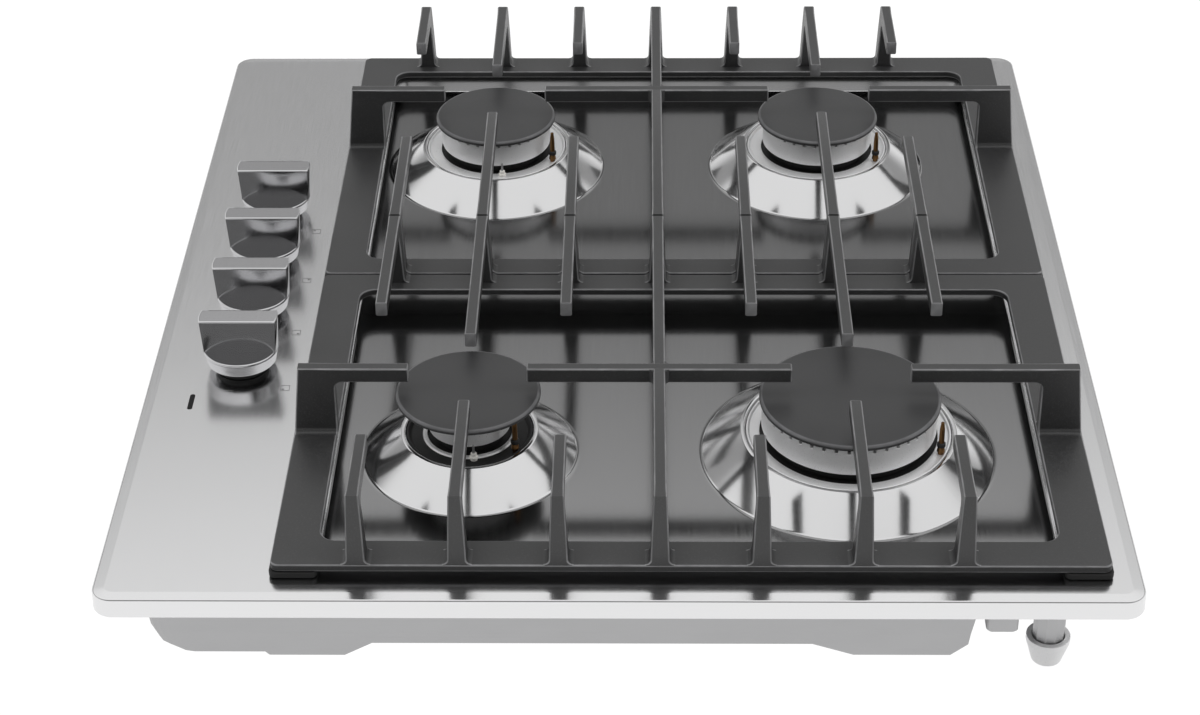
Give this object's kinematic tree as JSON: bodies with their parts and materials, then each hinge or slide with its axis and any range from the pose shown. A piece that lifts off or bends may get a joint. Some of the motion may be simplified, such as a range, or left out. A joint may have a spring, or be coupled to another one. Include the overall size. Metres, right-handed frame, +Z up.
{
  "type": "gas hob",
  "caption": "Built-in stainless gas hob with lift-off cast grates, burner crowns and caps, press-and-turn front knobs, a bottom tray and a rear gas inlet.",
  "frame": {"origin": "the middle of the plate in plan, at the height of the worktop, where the rim's underside rests", "axes": "+X is the user's right, -Y is towards the user, where the knobs are, and +Z is up"},
  "size_m": [0.582, 0.52, 0.1102],
  "materials": {
    "stainless": "brushed, satin",
    "cast_iron": "matt black enamel with a fine grain",
    "enamel": "matt black enamel",
    "burner_aluminium": "satin",
    "knob_metal": "polished",
    "brass": "dull",
    "steel": "dull",
    "galvanised": "galvanised, matt",
    "rubber": "matt black",
    "ceramic": "white ceramic",
    "grey_plastic": "matt"
  },
  "bodies": {
    "hob": {"top_plate": "stainless", "bottom_tray": "galvanised", "gas_rail": "steel", "inlet_nut": "galvanised", "terminal_block": "grey_plastic", "ignition_unit": "grey_plastic", "front_left_burner_body": "burner_aluminium", "front_left_thermocouple": "brass", "front_left_spark_plug": "ceramic", "front_left_tap_body": "brass", "front_left_gas_pipe": "burner_aluminium", "front_left_knob_seal": "rubber", "rear_left_burner_body": "burner_aluminium", "rear_left_thermocouple": "brass", "rear_left_spark_plug": "ceramic", "rear_left_tap_body": "brass", "rear_left_gas_pipe": "burner_aluminium", "rear_left_knob_seal": "rubber", "rear_right_burner_body": "burner_aluminium", "rear_right_thermocouple": "brass", "rear_right_spark_plug": "ceramic", "rear_right_tap_body": "brass", "rear_right_gas_pipe": "burner_aluminium", "rear_right_knob_seal": "rubber", "front_right_burner_body": "burner_aluminium", "front_right_thermocouple": "brass", "front_right_spark_plug": "ceramic", "front_right_tap_body": "brass", "front_right_gas_pipe": "burner_aluminium", "front_right_knob_seal": "rubber"},
    "left_grate": {"left_grate": "cast_iron", "left_grate_foot_front_inner": "rubber", "left_grate_foot_front_outer": "rubber", "left_grate_foot_rear_inner": "rubber", "left_grate_foot_rear_outer": "rubber"},
    "right_grate": {"right_grate": "cast_iron", "right_grate_foot_front_inner": "rubber", "right_grate_foot_front_outer": "rubber", "right_grate_foot_rear_inner": "rubber", "right_grate_foot_rear_outer": "rubber"},
    "front_left_crown": {"front_left_burner_crown": "burner_aluminium"},
    "front_left_cap": {"front_left_burner_cap": "enamel"},
    "front_left_plug": {"front_left_tap_plug": "brass"},
    "front_left_knob": {"front_left_knob": "knob_metal", "front_left_spindle": "steel"},
    "rear_left_crown": {"rear_left_burner_crown": "burner_aluminium"},
    "rear_left_cap": {"rear_left_burner_cap": "enamel"},
    "rear_left_plug": {"rear_left_tap_plug": "brass"},
    "rear_left_knob": {"rear_left_knob": "knob_metal", "rear_left_spindle": "steel"},
    "rear_right_crown": {"rear_right_burner_crown": "burner_aluminium"},
    "rear_right_cap": {"rear_right_burner_cap": "enamel"},
    "rear_right_plug": {"rear_right_tap_plug": "brass"},
    "rear_right_knob": {"rear_right_knob": "knob_metal", "rear_right_spindle": "steel"},
    "front_right_crown": {"front_right_burner_crown": "burner_aluminium"},
    "front_right_cap": {"front_right_burner_cap": "enamel"},
    "front_right_plug": {"front_right_tap_plug": "brass"},
    "front_right_knob": {"front_right_knob": "knob_metal", "front_right_spindle": "steel"}
  },
  "joints": [
    {"name": "left_grate_lift", "type": "slide", "parent": "hob", "child": "left_grate", "axis": [0, 0, 1], "range_m": [0, 0.1]},
    {"name": "right_grate_lift", "type": "slide", "parent": "hob", "child": "right_grate", "axis": [0, 0, 1], "range_m": [0, 0.1]},
    {"name": "front_left_crown_lift", "type": "slide", "parent": "hob", "child": "front_left_crown", "axis": [0, 0, 1], "range_m": [0, 0.004]},
    {"name": "front_left_cap_lift", "type": "slide", "parent": "front_left_crown", "child": "front_left_cap", "axis": [0, 0, 1], "range_m": [0, 0.004]},
    {"name": "front_left_knob_turn", "type": "hinge", "parent": "hob", "child": "front_left_plug", "pos_m": [-0.08385, -0.2096, 0], "axis": [0, 0, 1], "range_deg": [0, 210]},
    {"name": "front_left_knob_press", "type": "slide", "parent": "front_left_plug", "child": "front_left_knob", "axis": [0, 0, -1], "range_m": [0, 0.0032], "stiffness_N_per_m": 800, "springref_m": -0.004},
    {"name": "rear_left_crown_lift", "type": "slide", "parent": "hob", "child": "rear_left_crown", "axis": [0, 0, 1], "range_m": [0, 0.004]},
    {"name": "rear_left_cap_lift", "type": "slide", "parent": "rear_left_crown", "child": "rear_left_cap", "axis": [0, 0, 1], "range_m": [0, 0.004]},
    {"name": "rear_left_knob_turn", "type": "hinge", "parent": "hob", "child": "rear_left_plug", "pos_m": [-0.02795, -0.2096, 0], "axis": [0, 0, 1], "range_deg": [0, 210]},
    {"name": "rear_left_knob_press", "type": "slide", "parent": "rear_left_plug", "child": "rear_left_knob", "axis": [0, 0, -1], "range_m": [0, 0.0032], "stiffness_N_per_m": 800, "springref_m": -0.004},
    {"name": "rear_right_crown_lift", "type": "slide", "parent": "hob", "child": "rear_right_crown", "axis": [0, 0, 1], "range_m": [0, 0.004]},
    {"name": "rear_right_cap_lift", "type": "slide", "parent": "rear_right_crown", "child": "rear_right_cap", "axis": [0, 0, 1], "range_m": [0, 0.004]},
    {"name": "rear_right_knob_turn", "type": "hinge", "parent": "hob", "child": "rear_right_plug", "pos_m": [0.02795, -0.2096, 0], "axis": [0, 0, 1], "range_deg": [0, 210]},
    {"name": "rear_right_knob_press", "type": "slide", "parent": "rear_right_plug", "child": "rear_right_knob", "axis": [0, 0, -1], "range_m": [0, 0.0032], "stiffness_N_per_m": 800, "springref_m": -0.004},
    {"name": "front_right_crown_lift", "type": "slide", "parent": "hob", "child": "front_right_crown", "axis": [0, 0, 1], "range_m": [0, 0.0025]},
    {"name": "front_right_cap_lift", "type": "slide", "parent": "front_right_crown", "child": "front_right_cap", "axis": [0, 0, 1], "range_m": [0, 0.003]},
    {"name": "front_right_knob_turn", "type": "hinge", "parent": "hob", "child": "front_right_plug", "pos_m": [0.08385, -0.2096, 0], "axis": [0, 0, 1], "range_deg": [0, 210]},
    {"name": "front_right_knob_press", "type": "slide", "parent": "front_right_plug", "child": "front_right_knob", "axis": [0, 0, -1], "range_m": [0, 0.0032], "stiffness_N_per_m": 800, "springref_m": -0.004}
  ]
}
